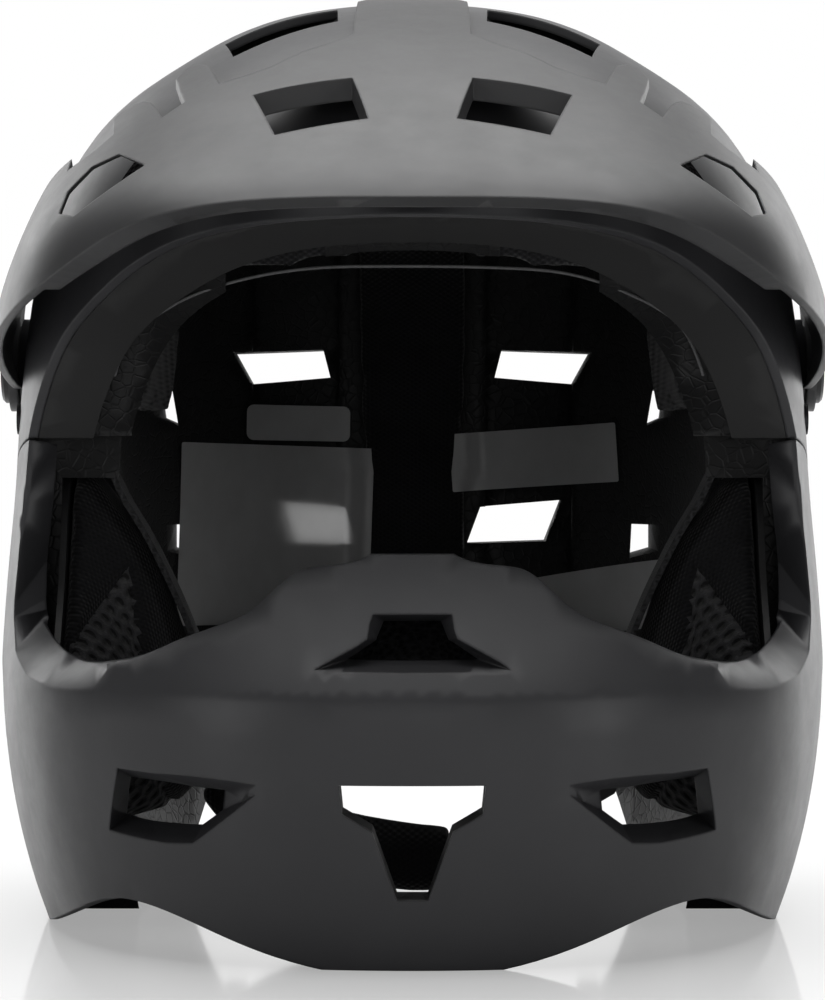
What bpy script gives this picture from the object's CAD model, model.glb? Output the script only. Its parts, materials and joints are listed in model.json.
import json
from math import cos, pi, radians, sin

import bmesh
import bpy
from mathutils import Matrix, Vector
from mathutils.bvhtree import BVHTree


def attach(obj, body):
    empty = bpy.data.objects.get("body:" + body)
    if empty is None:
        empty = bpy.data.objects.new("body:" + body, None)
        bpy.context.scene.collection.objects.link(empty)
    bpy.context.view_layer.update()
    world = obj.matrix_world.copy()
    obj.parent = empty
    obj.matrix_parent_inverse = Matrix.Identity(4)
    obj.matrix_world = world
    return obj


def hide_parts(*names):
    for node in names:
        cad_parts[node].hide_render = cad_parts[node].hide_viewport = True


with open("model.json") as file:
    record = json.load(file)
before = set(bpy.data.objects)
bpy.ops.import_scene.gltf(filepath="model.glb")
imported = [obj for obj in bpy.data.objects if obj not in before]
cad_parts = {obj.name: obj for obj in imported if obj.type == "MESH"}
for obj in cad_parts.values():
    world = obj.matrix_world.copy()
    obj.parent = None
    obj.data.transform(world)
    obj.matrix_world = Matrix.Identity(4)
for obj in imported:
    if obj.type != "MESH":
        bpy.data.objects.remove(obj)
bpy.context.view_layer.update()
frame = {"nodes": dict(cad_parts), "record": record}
nodes = frame["nodes"]
scene = bpy.context.scene
mm = 0.001
slotOf = {part["node"]: part["material_slot"] for part in frame["record"]["subparts"]}
bodyOf = {
    name: body for body, names in frame["record"]["behaviour"]["bodies"].items() for name in names
}
print("frame loaded:", len(nodes), "nodes")


def hexColour(code):
    # an sRGB hex colour as the linear one that a shader wants
    channels = [int(code[start:start + 2], 16) / 255 for start in (1, 3, 5)]
    return [c / 12.92 if c <= 0.04045 else ((c + 0.055) / 1.055) ** 2.4 for c in channels] + [1.0]


def addNode(tree, kind, settings=None, links=None):
    # one shader node: its settings and plain socket values, then what is linked into it
    node = tree.nodes.new(kind)
    for name, value in (settings or {}).items():
        if name == "stops":
            spots = node.color_ramp.elements
            for index, (position, code) in enumerate(value):
                spot = spots[index] if index < 2 else spots.new(position)
                spot.position = position
                spot.color = hexColour(code)
        elif isinstance(name, int) or name in node.inputs:
            node.inputs[name].default_value = value
        else:
            setattr(node, name, value)
    for socket, source in (links or {}).items():
        tree.links.new(source, node.inputs[socket])
    return node


def startMaterial(name, shader):
    # a material with its shader's plain values set, and the Object coordinates to work with
    material = bpy.data.materials.new(name)
    material.use_nodes = True
    tree = material.node_tree
    tree.nodes.clear()
    surface = addNode(tree, "ShaderNodeBsdfPrincipled", shader)
    addNode(tree, "ShaderNodeOutputMaterial", None, {"Surface": surface.outputs[0]})
    place = addNode(tree, "ShaderNodeTexCoord").outputs["Object"]
    return material, tree, surface, place


def joinSurface(tree, surface, links):
    # what a material's nodes make, linked into its shader
    for socket, source in links.items():
        tree.links.new(source, surface.inputs[socket])


# Pattern scales below are one over a real size: a noise or cell texture repeats once a unit
softTouch = {"grain": 0.45, "cloud": 45, "scuff": 14, "peel": 0.05, "edge": 1.0}


def softTouchCoat(name, base, worn):
    # soft-touch polyurethane sprayed over a moulded shell: an even, very fine peel, dull but not
    # flat, a little paler and smoother in clouds where it has been handled
    material, tree, surface, place = startMaterial(name, {"IOR": 1.45, "Specular IOR Level": 0.4})
    peel = addNode(
        tree, "ShaderNodeTexNoise",
        {"Scale": 1 / (softTouch["grain"] * mm), "Detail": 2.0, "Roughness": 0.6}, {"Vector": place},
    ).outputs["Fac"]
    cloud = addNode(
        tree, "ShaderNodeTexNoise", {"Scale": 1 / (softTouch["cloud"] * mm), "Detail": 3.0},
        {"Vector": place},
    ).outputs["Fac"]
    scuff = addNode(
        tree, "ShaderNodeTexNoise",
        {"Scale": 1 / (softTouch["scuff"] * mm), "Detail": 6.0, "Roughness": 0.75}, {"Vector": place},
    ).outputs["Fac"]
    tint = addNode(tree, "ShaderNodeValToRGB", {"stops": [(0.35, base), (0.68, worn)]}, {"Fac": cloud})
    rough = addNode(
        tree, "ShaderNodeMapRange", {"From Min": 0.35, "From Max": 0.7, "To Min": 0.47, "To Max": 0.4},
        {"Value": scuff},
    )
    # a moulded edge is never quite sharp, and its round catches the light
    edge = addNode(tree, "ShaderNodeBevel", {"samples": 4, "Radius": softTouch["edge"] * mm})
    bump = addNode(
        tree, "ShaderNodeBump", {"Strength": 0.14, "Distance": softTouch["peel"] * mm},
        {"Height": peel, "Normal": edge.outputs[0]},
    )
    joinSurface(tree, surface, {
        "Base Color": tint.outputs[0], "Roughness": rough.outputs[0], "Normal": bump.outputs[0],
    })
    return material


def mouldedPlastic(name, base, high, grain, roughness, depth=0.05):
    # injection moulded plastic from a spark-eroded tool: a fine stipple that breaks up its gloss
    material, tree, surface, place = startMaterial(name, {"IOR": 1.5, "Roughness": roughness})
    stipple = addNode(
        tree, "ShaderNodeTexNoise", {"Scale": 1 / (grain * mm), "Detail": 2.0}, {"Vector": place}
    ).outputs["Fac"]
    tint = addNode(
        tree, "ShaderNodeValToRGB", {"stops": [(0.3, base), (0.75, high)]}, {"Fac": stipple}
    )
    bump = addNode(
        tree, "ShaderNodeBump", {"Strength": 0.3, "Distance": depth * mm}, {"Height": stipple}
    )
    joinSurface(tree, surface, {"Base Color": tint.outputs[0], "Normal": bump.outputs[0]})
    return material


beadFoam = {"bead": 3.4, "joint": 0.10, "depth": 0.35}


def mouldedBeadFoam(name):
    # polystyrene beads steamed together in a tool: flattened cells, their joints fine and matt
    material, tree, surface, place = startMaterial(name, {"Roughness": 0.6, "IOR": 1.45})
    beads = addNode(
        tree, "ShaderNodeTexVoronoi",
        {"Scale": 1 / (beadFoam["bead"] * mm), "feature": "DISTANCE_TO_EDGE"}, {"Vector": place},
    ).outputs["Distance"]
    dome = addNode(
        tree, "ShaderNodeMapRange", {"From Max": beadFoam["joint"]}, {"Value": beads}
    ).outputs[0]
    tint = addNode(
        tree, "ShaderNodeValToRGB", {"stops": [(0.0, "#050506"), (0.8, "#0c0c0d")]}, {"Fac": dome}
    )
    bump = addNode(
        tree, "ShaderNodeBump", {"Strength": 0.5, "Distance": beadFoam["depth"] * mm}, {"Height": dome}
    )
    joinSurface(tree, surface, {"Base Color": tint.outputs[0], "Normal": bump.outputs[0]})
    return material


cellFoam = {"cell": 1.5, "depth": 0.8}


def openCellFoam(name):
    # reticulated polyurethane, blown and burst open: a sponge of fine dark cells
    material, tree, surface, place = startMaterial(
        name, {"Roughness": 1.0, "IOR": 1.45, "Specular IOR Level": 0.05}
    )
    cells = addNode(
        tree, "ShaderNodeTexVoronoi", {"Scale": 1 / (cellFoam["cell"] * mm)}, {"Vector": place}
    ).outputs["Distance"]
    tint = addNode(
        tree, "ShaderNodeValToRGB", {"stops": [(0.15, "#020202"), (0.75, "#111112")]}, {"Fac": cells}
    )
    bump = addNode(
        tree, "ShaderNodeBump", {"Strength": 0.9, "Distance": cellFoam["depth"] * mm}, {"Height": cells}
    )
    joinSurface(tree, surface, {"Base Color": tint.outputs[0], "Normal": bump.outputs[0]})
    return material


def starPattern(tree, place, pitch, across):
    # three sets of ridges at 60 degrees, which meet in rows of holes a pitch apart
    total = None
    for turn in (0, 60, 120):
        reach = 2 * pi / (pitch * mm * cos(radians(30)))
        line = Vector(across) * cos(radians(turn)) + Vector((0, 0, 1)) * sin(radians(turn))
        phase = addNode(
            tree, "ShaderNodeVectorMath", {"operation": "DOT_PRODUCT", 1: line * reach}, {0: place}
        )
        ridge = addNode(tree, "ShaderNodeMath", {"operation": "COSINE"}, {0: phase.outputs["Value"]})
        if total is None:
            total = ridge
        else:
            total = addNode(
                tree, "ShaderNodeMath", {"operation": "ADD"}, {0: total.outputs[0], 1: ridge.outputs[0]}
            )
    return total.outputs[0]


# The loops of the knit are drawn about twice as coarse as they are, so that they show
knit = {"loop": 1.5, "depth": 0.22, "nap": 18}


def brushedKnit(name, across):
    # warp-knit polyester, brushed: fine rows of loops under a short nap that lightens at its edges
    material, tree, surface, place = startMaterial(name, {
        "Roughness": 0.92, "IOR": 1.46, "Sheen Weight": 0.12, "Sheen Roughness": 0.45,
        "Specular IOR Level": 0.25,
    })
    loops = starPattern(tree, place, knit["loop"], across)
    nap = addNode(
        tree, "ShaderNodeTexNoise", {"Scale": 1 / (knit["nap"] * mm), "Detail": 4.0}, {"Vector": place}
    ).outputs["Fac"]
    shade = addNode(
        tree, "ShaderNodeMath", {"operation": "MULTIPLY_ADD", 1: 0.12}, {0: loops, 2: nap}
    ).outputs[0]
    tint = addNode(
        tree, "ShaderNodeValToRGB", {"stops": [(0.2, "#18181a"), (0.9, "#09090a")]}, {"Fac": shade}
    )
    bump = addNode(
        tree, "ShaderNodeBump", {"Strength": 0.5, "Distance": knit["depth"] * mm, "invert": True},
        {"Height": loops},
    )
    joinSurface(tree, surface, {"Base Color": tint.outputs[0], "Normal": bump.outputs[0]})
    return material


spacer = {"hole": 4.4, "fibre": 0.7, "depth": 1.1, "wander": 9, "shift": 1.6}


def spacerNet(name, across):
    # spacer fabric: an open net of bundled yarns over a dark gap, its holes in staggered rows
    material, tree, surface, place = startMaterial(name, {
        "Roughness": 0.85, "IOR": 1.48, "Sheen Weight": 0.1, "Specular IOR Level": 0.4,
    })
    wander = addNode(
        tree, "ShaderNodeTexNoise", {"Scale": 1 / (spacer["wander"] * mm), "Detail": 1.0},
        {"Vector": place},
    ).outputs["Color"]
    shift = addNode(
        tree, "ShaderNodeVectorMath", {"operation": "SCALE", "Scale": spacer["shift"] * mm}, {0: wander}
    ).outputs[0]
    drawn = addNode(tree, "ShaderNodeVectorMath", {"operation": "ADD"}, {0: place, 1: shift}).outputs[0]
    holes = starPattern(tree, drawn, spacer["hole"], across)
    fibres = addNode(
        tree, "ShaderNodeTexNoise", {"Scale": 1 / (spacer["fibre"] * mm), "Detail": 3.0},
        {"Vector": place},
    ).outputs["Fac"]
    height = addNode(
        tree, "ShaderNodeMath", {"operation": "MULTIPLY_ADD", 1: -0.8}, {0: fibres, 2: holes}
    ).outputs[0]
    tint = addNode(
        tree, "ShaderNodeValToRGB",
        {"stops": [(0.0, "#3c3c3e"), (0.25, "#242426"), (0.6, "#040405")]}, {"Fac": height},
    )
    bump = addNode(
        tree, "ShaderNodeBump", {"Strength": 1.0, "Distance": spacer["depth"] * mm, "invert": True},
        {"Height": height},
    )
    joinSurface(tree, surface, {"Base Color": tint.outputs[0], "Normal": bump.outputs[0]})
    return material


webbing = {"rib": 1.7, "depth": 0.3}


def wovenWebbing(name):
    # plain-woven polyester webbing: ribs straight across it, and a dull lustre on each yarn
    material, tree, surface, place = startMaterial(name, {
        "Roughness": 0.7, "IOR": 1.5, "Sheen Weight": 0.08, "Specular IOR Level": 0.4,
    })
    total = starPattern(tree, place, webbing["rib"], (0.7, 0.7, 0))
    tint = addNode(
        tree, "ShaderNodeValToRGB", {"stops": [(0.0, "#1d1d1f"), (0.9, "#070708")]}, {"Fac": total}
    )
    bump = addNode(
        tree, "ShaderNodeBump", {"Strength": 0.6, "Distance": webbing["depth"] * mm, "invert": True},
        {"Height": total},
    )
    joinSurface(tree, surface, {"Base Color": tint.outputs[0], "Normal": bump.outputs[0]})
    return material


film = {"haze": 12}


def labelFilm(name):
    # matt polyester film, cast and left blank: thin enough for light behind it to show through
    material, tree, surface, place = startMaterial(name, {
        "Roughness": 0.45, "IOR": 1.5, "Transmission Weight": 0.35,
    })
    haze = addNode(
        tree, "ShaderNodeTexNoise", {"Scale": 1 / (film["haze"] * mm), "Detail": 4.0}, {"Vector": place}
    ).outputs["Fac"]
    tint = addNode(
        tree, "ShaderNodeValToRGB", {"stops": [(0.3, "#a6a6a6"), (0.7, "#b2b2b2")]}, {"Fac": haze}
    )
    joinSurface(tree, surface, {"Base Color": tint.outputs[0]})
    return material


turning = {"ring": 0.8, "depth": 0.03}


def turnedMetal(name, base, high, roughness):
    # turned on a lathe and plated: fine rings left by the tool under a thin bright layer
    material, tree, surface, place = startMaterial(name, {"Metallic": 1.0, "Roughness": roughness})
    rings = addNode(
        tree, "ShaderNodeTexNoise", {"Scale": 1 / (turning["ring"] * mm), "Detail": 4.0},
        {"Vector": place},
    ).outputs["Fac"]
    tint = addNode(tree, "ShaderNodeValToRGB", {"stops": [(0.3, base), (0.7, high)]}, {"Fac": rings})
    bump = addNode(
        tree, "ShaderNodeBump", {"Strength": 0.15, "Distance": turning["depth"] * mm}, {"Height": rings}
    )
    joinSurface(tree, surface, {"Base Color": tint.outputs[0], "Normal": bump.outputs[0]})
    return material


finishes = {
    "shell": softTouchCoat("softTouchPolyurethane", "#2b2b2d", "#303032"),
    "visor": softTouchCoat("softTouchVisorPolyurethane", "#303031", "#363637"),
    "band": mouldedPlastic("mouldedBandAbs", "#090909", "#0c0c0d", 0.6, 0.75),
    "plate": mouldedPlastic("mouldedPlateAbs", "#0c0c0d", "#121213", 0.8, 0.5),
    "screw": mouldedPlastic("mouldedCapNylon", "#151516", "#1c1c1d", 0.5, 0.4),
    "washer": mouldedPlastic("mouldedWasherRubber", "#0b0b0b", "#101010", 0.9, 0.7),
    "buckle": mouldedPlastic("mouldedBuckleAcetal", "#0f0f10", "#151516", 0.7, 0.42),
    "tongue": mouldedPlastic("mouldedTongueAcetal", "#131314", "#1a1a1b", 1.2, 0.3),
    "net": mouldedPlastic("mouldedNetNylon", "#0d0d0e", "#131314", 0.6, 0.5),
    "foam": mouldedBeadFoam("mouldedBeadPolystyrene"),
    "filter": openCellFoam("reticulatedFilterFoam"),
    "knit": brushedKnit("brushedKnitPolyester", (1, 0, 0)),
    "webbing": wovenWebbing("wovenPolyesterWebbing"),
    "brass": turnedMetal("turnedBrass", "#a98a52", "#b89a60", 0.32),
    "steel": turnedMetal("blackPassivatedSteel", "#2c2c2e", "#3a3a3c", 0.42),
}
linings = {}
for side, sign in (("left", -1), ("right", 1)):
    slant = (0.7, sign * 0.7, 0)
    linings[side] = [brushedKnit(side + "KnitLining", slant), spacerNet(side + "SpacerNet", slant)]
filmFinish = labelFilm("castLabelFilm")
trimFinish = mouldedPlastic("foldedBindingTape", "#4a4a4b", "#565657", 0.9, 0.8)
print("materials made:", len(bpy.data.materials))


def addPiece(name, mesh, slot, body="helmet", standsFor=(), materials=None):
    # a finished piece, at the origin, riding on its body
    mesh.name = name
    piece = bpy.data.objects.new(name, mesh)
    scene.collection.objects.link(piece)
    mesh.materials.clear()
    for material in materials or [finishes[slot]]:
        mesh.materials.append(material)
    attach(piece, body)
    if standsFor:
        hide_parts(*standsFor)
    return piece


# Points closer than this are one point, in millimetres
weld = 0.002


def mergedMesh(name):
    # a CAD node's triangles joined along their edges, in a mesh of their own
    mesh = nodes[name].data.copy()
    work = bmesh.new()
    work.from_mesh(mesh)
    bmesh.ops.remove_doubles(work, verts=work.verts, dist=weld * mm)
    bmesh.ops.dissolve_degenerate(work, edges=work.edges, dist=weld * mm)
    work.to_mesh(mesh)
    work.free()
    return mesh


# Rigid pieces with curved skins, and the angle past which an edge of theirs stays sharp
curvedPieces = {
    "upper_shell": 30, "chin_bar": 26, "brow_band": 30, "visor": 26, "eps_liner": 38,
    "chin_bar_liner": 38, "nose_vent_foam": 40, "strap_left": 50, "strap_right": 50,
}
for name, crease in curvedPieces.items():
    mesh = mergedMesh(name)
    mesh.shade_smooth()
    mesh.set_sharp_from_angle(angle=radians(crease))
    addPiece(name + ".skin", mesh, slotOf[name], bodyOf[name], (name,))
print("shells, liners, visor and straps placed:", len(curvedPieces))

# Each cushion: voxel and fill, how far it may swell, and how far its skin is drawn in to begin with
cushions = {
    "cheek_pad_left": {"voxel": 4.5, "swell": 2.6, "drawn": 1.3, "fill": 0.75},
    "cheek_pad_right": {"voxel": 4.5, "swell": 2.6, "drawn": 1.3, "fill": 0.75},
    "crown_pad": {"voxel": 4.0, "swell": 1.8, "drawn": 0.9, "fill": 0.6},
    "brow_pad": {"voxel": 3.0, "swell": 1.4, "drawn": 0.7, "fill": 0.6},
    "nape_pad": {"voxel": 3.5, "swell": 1.6, "drawn": 0.8, "fill": 0.6},
    "side_pad_left": {"voxel": 3.0, "swell": 1.4, "drawn": 0.7, "fill": 0.6},
    "side_pad_right": {"voxel": 3.0, "swell": 1.4, "drawn": 0.7, "fill": 0.6},
    "chin_pad": {"voxel": 3.0, "swell": 1.8, "drawn": 0.9, "fill": 0.5},
}
headCentre = Vector((0, 15 * mm, 115 * mm))
clothRun = {"pressure": 4.0, "frames": 20, "outward": 0.15}


def bakedMesh(piece):
    # the piece as its modifiers leave it
    graph = bpy.context.evaluated_depsgraph_get()
    return bpy.data.meshes.new_from_object(piece.evaluated_get(graph))


def startCushion(name, cushion):
    # an even skin of small squares over the cushion, drawn in so that it has room to swell
    mesh = mergedMesh(name)
    piece = bpy.data.objects.new(name + ".swell", mesh)
    scene.collection.objects.link(piece)
    even = piece.modifiers.new("even", "REMESH")
    even.mode = "VOXEL"
    even.voxel_size = cushion["voxel"] * mm
    piece.data = bakedMesh(piece)
    piece.modifiers.clear()
    for point in piece.data.vertices:
        point.co -= point.normal * cushion["drawn"] * mm
    return piece


def swellAll(pieces):
    # every cushion at once: air pressure in a cloth skin, with no gravity
    for piece in pieces:
        cloth = piece.modifiers.new("cloth", "CLOTH")
        cloth.settings.use_pressure = True
        cloth.settings.uniform_pressure_force = clothRun["pressure"]
        cloth.settings.effector_weights.gravity = 0
        cloth.collision_settings.use_collision = False
    for step in range(1, clothRun["frames"] + 1):
        scene.frame_set(step)
        bpy.context.view_layer.update()


def capSwell(piece, swollen, cushion):
    # nothing moves further than the cap, and hardly at all towards the liner behind it
    for start, end in zip(piece.data.vertices, swollen.vertices):
        move = end.co - start.co
        away = (start.co - headCentre).normalized()
        outward = move.dot(away)
        if outward > clothRun["outward"] * mm:
            move -= away * (outward - clothRun["outward"] * mm)
        if move.length > cushion["swell"] * mm:
            move = move.normalized() * cushion["swell"] * mm
        start.co += move


blanks = {name: startCushion(name, cushion) for name, cushion in cushions.items()}
swellAll(blanks.values())
swollen = {name: bakedMesh(piece) for name, piece in blanks.items()}
for name, piece in blanks.items():
    piece.modifiers.clear()
    capSwell(piece, swollen[name], cushions[name])
scene.frame_set(1)
print("cushions swollen:", len(blanks))

# The cheek pads' seams: knit above and outside, spacer net low at the front, between two seams.
# Each seam is a plane through a point across and up, leaning by its angle from upright
cheekSeams = {
    "across": 82, "up": 101, "outer": 34, "inner": -10, "width": 2.2, "depth": 1.3, "cut": 0.02,
}


def sewCheekPad(mesh, sign):
    # the skin is cut along both seams, pressed in there, and given the net between them
    apex = Vector((sign * cheekSeams["across"], 0, cheekSeams["up"])) * mm
    planes = []
    for angle in (cheekSeams["outer"], cheekSeams["inner"]):
        lean = radians(angle)
        planes.append(Vector((sign * cos(lean), 0, sin(lean))))
    outer, inner = planes
    work = bmesh.new()
    work.from_mesh(mesh)
    for plane in planes:
        geometry = work.verts[:] + work.edges[:] + work.faces[:]
        bmesh.ops.bisect_plane(
            work, geom=geometry, plane_co=apex, plane_no=plane, dist=cheekSeams["cut"] * mm
        )
    work.normal_update()
    moves = {}
    for point in work.verts:
        offset = point.co - apex
        beyondOuter, beyondInner = offset.dot(outer), offset.dot(inner)
        near = []
        if beyondInner > 0 and offset.z < 0:
            near.append(abs(beyondOuter))
        if beyondOuter < 0 and offset.z < 0:
            near.append(abs(beyondInner))
        if near and min(near) < cheekSeams["width"] * mm:
            share = 0.5 + 0.5 * cos(pi * min(near) / (cheekSeams["width"] * mm))
            moves[point] = point.normal * share * cheekSeams["depth"] * mm
    for point, move in moves.items():
        point.co -= move
    for face in work.faces:
        offset = face.calc_center_median() - apex
        inNet = offset.dot(outer) < 0 and offset.dot(inner) > 0 and offset.z < 0
        face.material_index = 1 if inNet else 0
    work.to_mesh(mesh)
    work.free()


# The sleeve under the chin sags where no strap is pulled tight through it, its open hem reaches a
# little over the strap, and a seam runs down it
chinSag = {
    "drop": 5.0, "reach": 26, "hem": 4.5, "hemFrom": -8, "seam": 2.0, "width": 1.2, "depth": 0.6,
}


def sagChinPad(mesh):
    top = max(point.co.z for point in mesh.vertices)
    low = min(point.co.z for point in mesh.vertices)
    end = max(point.co.x for point in mesh.vertices)
    start = chinSag["hemFrom"] * mm
    for point in mesh.vertices:
        across = min(abs(point.co.x) / (chinSag["reach"] * mm), 1)
        share = (top - point.co.z) / (top - low) * (0.5 + 0.5 * cos(pi * across))
        point.co.z -= share * chinSag["drop"] * mm
        point.co.x += max(point.co.x - start, 0) / (end - start) * chinSag["hem"] * mm
        beside = abs(point.co.x - chinSag["seam"] * mm) / (chinSag["width"] * mm)
        if beside < 1:
            point.co -= point.normal * (0.5 + 0.5 * cos(pi * beside)) * chinSag["depth"] * mm


for name, blank in blanks.items():
    finer = blank.modifiers.new("finer", "SUBSURF")
    finer.levels = finer.render_levels = 1
    mesh = bakedMesh(blank)
    bpy.data.objects.remove(blank)
    mesh.shade_smooth()
    if name == "chin_pad":
        sagChinPad(mesh)
    side = name.split("_")[-1] if name.startswith("cheek") else None
    cushion = addPiece(name + ".cushion", mesh, "knit", bodyOf[name], (name,), linings.get(side))
    if side:
        sewCheekPad(mesh, 1 if side == "left" else -1)
print("cushions sewn and placed")

# Blank labels on the rear wall of the liner, seen from the front: sides in millimetres
labels = {
    "smallLabel": {"left": -53.6, "right": -20.5, "low": 138, "high": 149.5, "corner": 2.2, "tilt": -1},
    "largeLabel": {"left": -74.0, "right": -13.5, "low": 78, "high": 136.5, "corner": 0.6, "tilt": -2},
    "rightLabel": {"left": 12.5, "right": 65.5, "low": 123, "high": 142, "corner": 0.6, "tilt": 4},
    "lowRightLabel": {"left": 39, "right": 83, "low": 76, "high": 97, "corner": 0.6, "tilt": 11},
}
wall = {"halfWidth": 90.2, "halfDepth": 138.6, "power": 2.25, "widest": 88, "narrowing": 0.0013,
        "leaning": 0.0009, "proud": 0.45, "groove": 5.0, "strip": 3.0}


def wallDepth(across, up):
    # the bowl of the liner's rear wall, without its channels
    rise = (up - wall["widest"]) ** 2
    halfWidth = wall["halfWidth"] - wall["narrowing"] * rise
    halfDepth = wall["halfDepth"] - wall["leaning"] * rise
    share = min(abs(across) / halfWidth, 0.98)
    return halfDepth * (1 - share ** wall["power"]) ** (1 / wall["power"])


linerTrees = []
for name in ("eps_liner", "crown_pad"):
    work = bmesh.new()
    work.from_mesh(nodes[name].data)
    linerTrees.append(BVHTree.FromBMesh(work))
    work.free()


def labelDepth(across, up):
    # on the bowl, bridging the channels, and never inside the foam or the crown pad
    depth = wallDepth(across, up)
    for tree in linerTrees:
        hit = tree.ray_cast(Vector((across, 0, up)) * mm, Vector((0, 1, 0)))[0]
        if hit and hit.y / mm < depth + wall["groove"]:
            depth = min(depth, hit.y / mm)
    return depth - wall["proud"]


def makeLabel(name, label):
    wide, high = label["right"] - label["left"], label["high"] - label["low"]
    middle = Vector(((label["left"] + label["right"]) / 2, 0, (label["low"] + label["high"]) / 2))
    work = bmesh.new()
    corners = []
    for x, z in ((-1, -1), (1, -1), (1, 1), (-1, 1)):
        corners.append(work.verts.new((x * wide / 2, 0, z * high / 2)))
    work.faces.new(corners)
    bmesh.ops.bevel(
        work, geom=corners, offset=label["corner"], segments=4, profile=0.5, affect="VERTICES",
        material=-1,
    )
    for direction, reach in (((1, 0, 0), wide), ((0, 0, 1), high)):
        for step in range(1, int(reach / wall["strip"])):
            spot = Vector(direction) * (step * wall["strip"] - reach / 2)
            geometry = work.verts[:] + work.edges[:] + work.faces[:]
            bmesh.ops.bisect_plane(work, geom=geometry, plane_co=spot, plane_no=direction)
    lean = radians(label["tilt"])
    for point in work.verts:
        across = point.co.x * cos(lean) - point.co.z * sin(lean) + middle.x
        up = point.co.x * sin(lean) + point.co.z * cos(lean) + middle.z
        point.co = Vector((across, labelDepth(across, up), up)) * mm
    work.normal_update()
    mesh = bpy.data.meshes.new(name)
    work.to_mesh(mesh)
    work.free()
    mesh.shade_smooth()
    return addPiece(name, mesh, "plate", materials=[filmFinish])


for name, label in labels.items():
    makeLabel(name, label)
print("blank labels placed:", len(labels))

# A dark foam filter lies on the upper shell under each side window of the visor. Its outline is
# in front view, in millimetres. It is laid on the shell in squares, then cut along the outline
sideFilter = {
    "outline": [(70, 199), (66, 214), (76, 222), (92, 216), (104, 203), (104, 196), (92, 194)],
    "square": 2.0, "proud": 0.35, "from": -220, "deepest": -72,
}


def cutAway(work, place, normal):
    geometry = work.verts[:] + work.edges[:] + work.faces[:]
    bmesh.ops.bisect_plane(work, geom=geometry, plane_co=place, plane_no=normal, clear_outer=True)


def makeSideFilter(name, sign, tree):
    corners = [Vector((sign * across, 0, up)) for across, up in sideFilter["outline"]]
    middle = sum(corners, Vector()) / len(corners)
    square = sideFilter["square"]
    reach = max((corner - middle).length for corner in corners)
    steps = int(2 * reach / square) + 2
    work = bmesh.new()
    spots = {}
    for column in range(steps):
        for row in range(steps):
            across = middle.x - reach + column * square
            up = middle.z - reach + row * square
            start = Vector((across, sideFilter["from"], up)) * mm
            hit, normal = tree.ray_cast(start, Vector((0, 1, 0)))[:2]
            if hit:
                spots[column, row] = work.verts.new(hit + normal * sideFilter["proud"] * mm)
    for (column, row), spot in spots.items():
        ring = [spot] + [spots.get((column + x, row + z)) for x, z in ((1, 0), (1, 1), (0, 1))]
        if all(ring):
            work.faces.new(ring)
    for near, far in zip(corners, corners[1:] + corners[:1]):
        outward = Vector((far.z - near.z, 0, near.x - far.x)).normalized()
        if outward.dot(middle - near) > 0:
            outward = -outward
        cutAway(work, near * mm, outward)
    cutAway(work, (0, sideFilter["deepest"] * mm, 0), (0, 1, 0))
    loose = [point for point in work.verts if not point.link_faces]
    bmesh.ops.delete(work, geom=loose, context="VERTS")
    mesh = bpy.data.meshes.new(name)
    work.to_mesh(mesh)
    work.free()
    mesh.shade_smooth()
    return addPiece(name, mesh, "filter")


shellWork = bmesh.new()
shellWork.from_mesh(nodes["upper_shell"].data)
shellTree = BVHTree.FromBMesh(shellWork)
shellWork.free()
for name, sign in (("leftSideFilter", 1), ("rightSideFilter", -1)):
    makeSideFilter(name, sign, shellTree)
print("side filters placed")

# The binding tape under the brow, by hand from the photograph: across, along, up
browTape = {
    "radius": 0.45,
    "route": [
        (-84, -57, 156), (-82, -63.5, 163), (-72, -68.5, 173), (-56, -73.5, 180.6), (-31, -73, 186),
        (0, -71.5, 186.3), (20, -72, 186), (41, -72.5, 185), (56, -73.5, 180.6), (72, -68.5, 173),
        (79, -60, 165.5), (82, -57, 156),
    ],
}


def makeTape(name, tape):
    route = bpy.data.curves.new(name, "CURVE")
    route.dimensions = "3D"
    spline = route.splines.new("NURBS")
    spline.points.add(len(tape["route"]) - 1)
    for point, place in zip(spline.points, tape["route"]):
        point.co = (*(Vector(place) * mm), 1)
    spline.order_u = 3
    spline.use_endpoint_u = True
    route.bevel_depth = tape["radius"] * mm
    route.bevel_resolution = 2
    holder = bpy.data.objects.new(name, route)
    scene.collection.objects.link(holder)
    mesh = bakedMesh(holder)
    bpy.data.objects.remove(holder)
    mesh.shade_smooth()
    return addPiece(name, mesh, "knit", materials=[trimFinish])


makeTape("browTape", browTape)
print("brow tape placed")

carried = [name for name in nodes if name not in curvedPieces and name not in cushions]
for name in carried:
    nodes[name].data.materials.clear()
    nodes[name].data.materials.append(finishes[slotOf[name]])
print("carried nodes finished:", len(carried))

studio = {
    "eye": 135, "distance": 1211, "focal": 147.2, "sensor": 36, "shift": -0.05, "floor": "#ffffff",
    "sheet": 6.0, "openFrom": 0.6, "openTo": 1.0,
    "gloss": 0.07, "clear": 0.2, "far": 0.9, "veil": 0.35, "ambient": 0.14, "room": 0.15,
}


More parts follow.
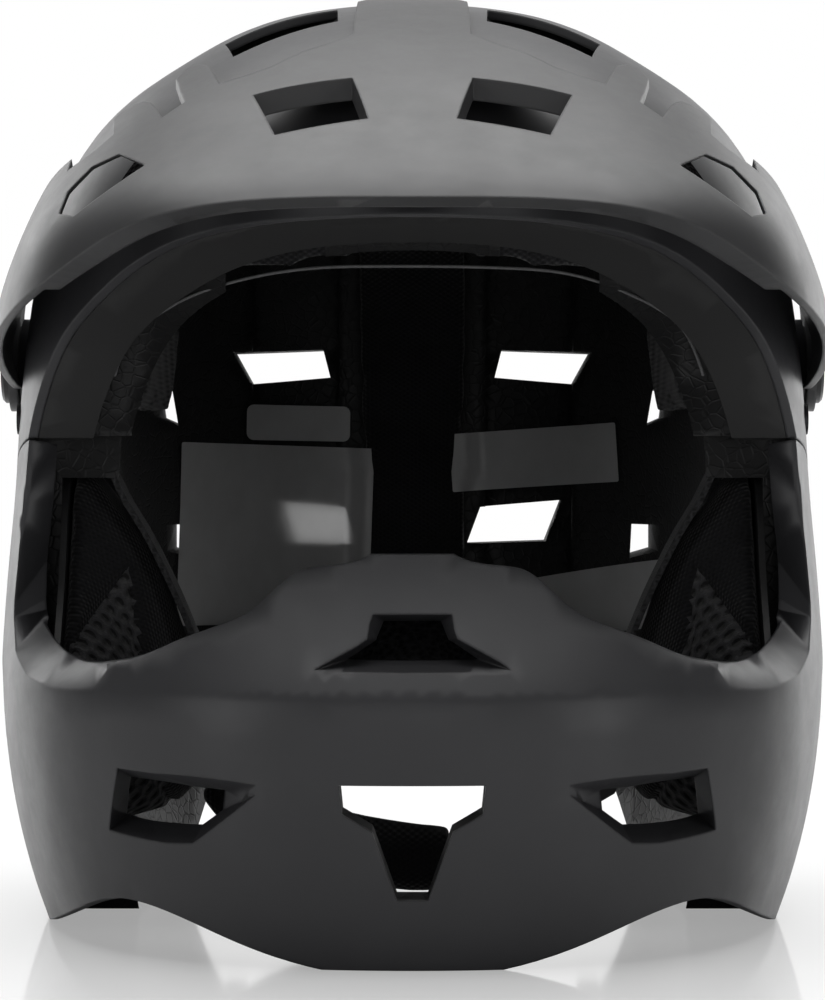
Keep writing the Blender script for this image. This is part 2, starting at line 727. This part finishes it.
def acrylicFloor(name):
    # cast white acrylic sheet: a soft mirror at a low angle. Far from the object it fades to the
    # plain white that only the camera sees
    material, tree, surface, place = startMaterial(name, {
        "Base Color": hexColour(studio["floor"]), "Roughness": studio["gloss"], "IOR": 1.49,
    })
    distance = addNode(tree, "ShaderNodeVectorMath", {"operation": "LENGTH"}, {0: place})
    fade = addNode(
        tree, "ShaderNodeMapRange",
        {"From Min": studio["clear"], "From Max": studio["far"], "To Min": studio["veil"]},
        {"Value": distance.outputs["Value"]},
    )
    path = addNode(tree, "ShaderNodeLightPath")
    seen = addNode(
        tree, "ShaderNodeMath", {"operation": "MULTIPLY"},
        {0: path.outputs["Is Camera Ray"], 1: fade.outputs[0]},
    )
    plain = addNode(tree, "ShaderNodeEmission", {"Color": hexColour(studio["floor"]), "Strength": 1.0})
    both = addNode(
        tree, "ShaderNodeMixShader", None, {0: seen.outputs[0], 1: surface.outputs[0], 2: plain.outputs[0]}
    )
    output = [node for node in tree.nodes if node.bl_idname == "ShaderNodeOutputMaterial"][0]
    tree.links.new(both.outputs[0], output.inputs["Surface"])
    return material


work = bmesh.new()
bmesh.ops.create_grid(work, x_segments=1, y_segments=1, size=studio["sheet"])
floorMesh = bpy.data.meshes.new("floorSheet")
work.to_mesh(floorMesh)
work.free()
floorMesh.materials.append(acrylicFloor("castWhiteAcrylic"))
floorSheet = bpy.data.objects.new("floorSheet", floorMesh)
scene.collection.objects.link(floorSheet)

# Softboxes: place, what they face, size and power
softboxes = {
    "topSoftbox": ((0, 0.2, 1.5), (0, 0, 0.15), (1.5, 1.5), 28),
    "leftSoftbox": ((-0.8, 1.1, 0.45), (0, 0, 0.14), (0.4, 1.2), 5),
    "rightSoftbox": ((0.8, 1.1, 0.45), (0, 0, 0.14), (0.4, 1.2), 5),
    "frontSoftbox": ((0, -2.2, 0.35), (0, 0, 0.12), (1.2, 0.8), 4),
    "leftFrontSoftbox": ((-1.6, -1.3, 0.35), (0, 0, 0.12), (0.9, 0.8), 7.5),
    "rightFrontSoftbox": ((1.6, -1.3, 0.35), (0, 0, 0.12), (0.9, 0.8), 7.5),
}
for name, (place, target, size, power) in softboxes.items():
    lamp = bpy.data.lights.new(name, "AREA")
    lamp.shape = "RECTANGLE"
    lamp.size, lamp.size_y = size
    lamp.energy = power
    holder = bpy.data.objects.new(name, lamp)
    scene.collection.objects.link(holder)
    holder.location = place
    holder.rotation_euler = (Vector(target) - Vector(place)).to_track_quat("-Z", "Y").to_euler()

world = bpy.data.worlds.new("whiteStudio")
scene.world = world
world.use_nodes = True
world.node_tree.nodes.clear()
path = addNode(world.node_tree, "ShaderNodeLightPath")
seen = path.outputs["Is Camera Ray"]
for kind in ("Is Glossy Ray", "Is Transmission Ray"):
    seen = addNode(
        world.node_tree, "ShaderNodeMath", {"operation": "MAXIMUM"}, {0: seen, 1: path.outputs[kind]}
    ).outputs[0]
# The room is white only behind the object and overhead, which its reflections and soft fill notice
direction = addNode(world.node_tree, "ShaderNodeTexCoord").outputs["Generated"]
axes = addNode(world.node_tree, "ShaderNodeSeparateXYZ", None, {0: direction}).outputs
highest = addNode(
    world.node_tree, "ShaderNodeMath", {"operation": "MAXIMUM"}, {0: axes["Y"], 1: axes["Z"]}
).outputs[0]
room = addNode(
    world.node_tree, "ShaderNodeMapRange",
    {
        "From Min": studio["openFrom"], "From Max": studio["openTo"], "To Min": studio["room"],
        "To Max": 1.0,
    },
    {"Value": highest},
).outputs[0]
gloss = addNode(
    world.node_tree, "ShaderNodeMix", {"data_type": "FLOAT", 2: studio["ambient"], 3: 1.0}, {0: seen}
).outputs[0]
shaded = addNode(world.node_tree, "ShaderNodeMath", {"operation": "MULTIPLY"}, {0: gloss, 1: room})
strength = addNode(
    world.node_tree, "ShaderNodeMath", {"operation": "MAXIMUM"},
    {0: shaded.outputs[0], 1: path.outputs["Is Camera Ray"]},
)
sky = addNode(
    world.node_tree, "ShaderNodeBackground", {"Color": hexColour(studio["floor"])},
    {"Strength": strength.outputs[0]},
)
addNode(world.node_tree, "ShaderNodeOutputWorld", None, {"Surface": sky.outputs[0]})

scene.view_settings.view_transform = "Standard"
lens = bpy.data.cameras.new("photoCamera")
lens.sensor_fit = "VERTICAL"
lens.sensor_height = studio["sensor"]
lens.lens = studio["focal"]
lens.shift_y = studio["shift"]
camera = bpy.data.objects.new("photoCamera", lens)
scene.collection.objects.link(camera)
camera.location = Vector((0, -studio["distance"], studio["eye"])) * mm
camera.rotation_euler = (radians(90), 0, 0)
scene.camera = camera
print("floor, softboxes and camera placed")
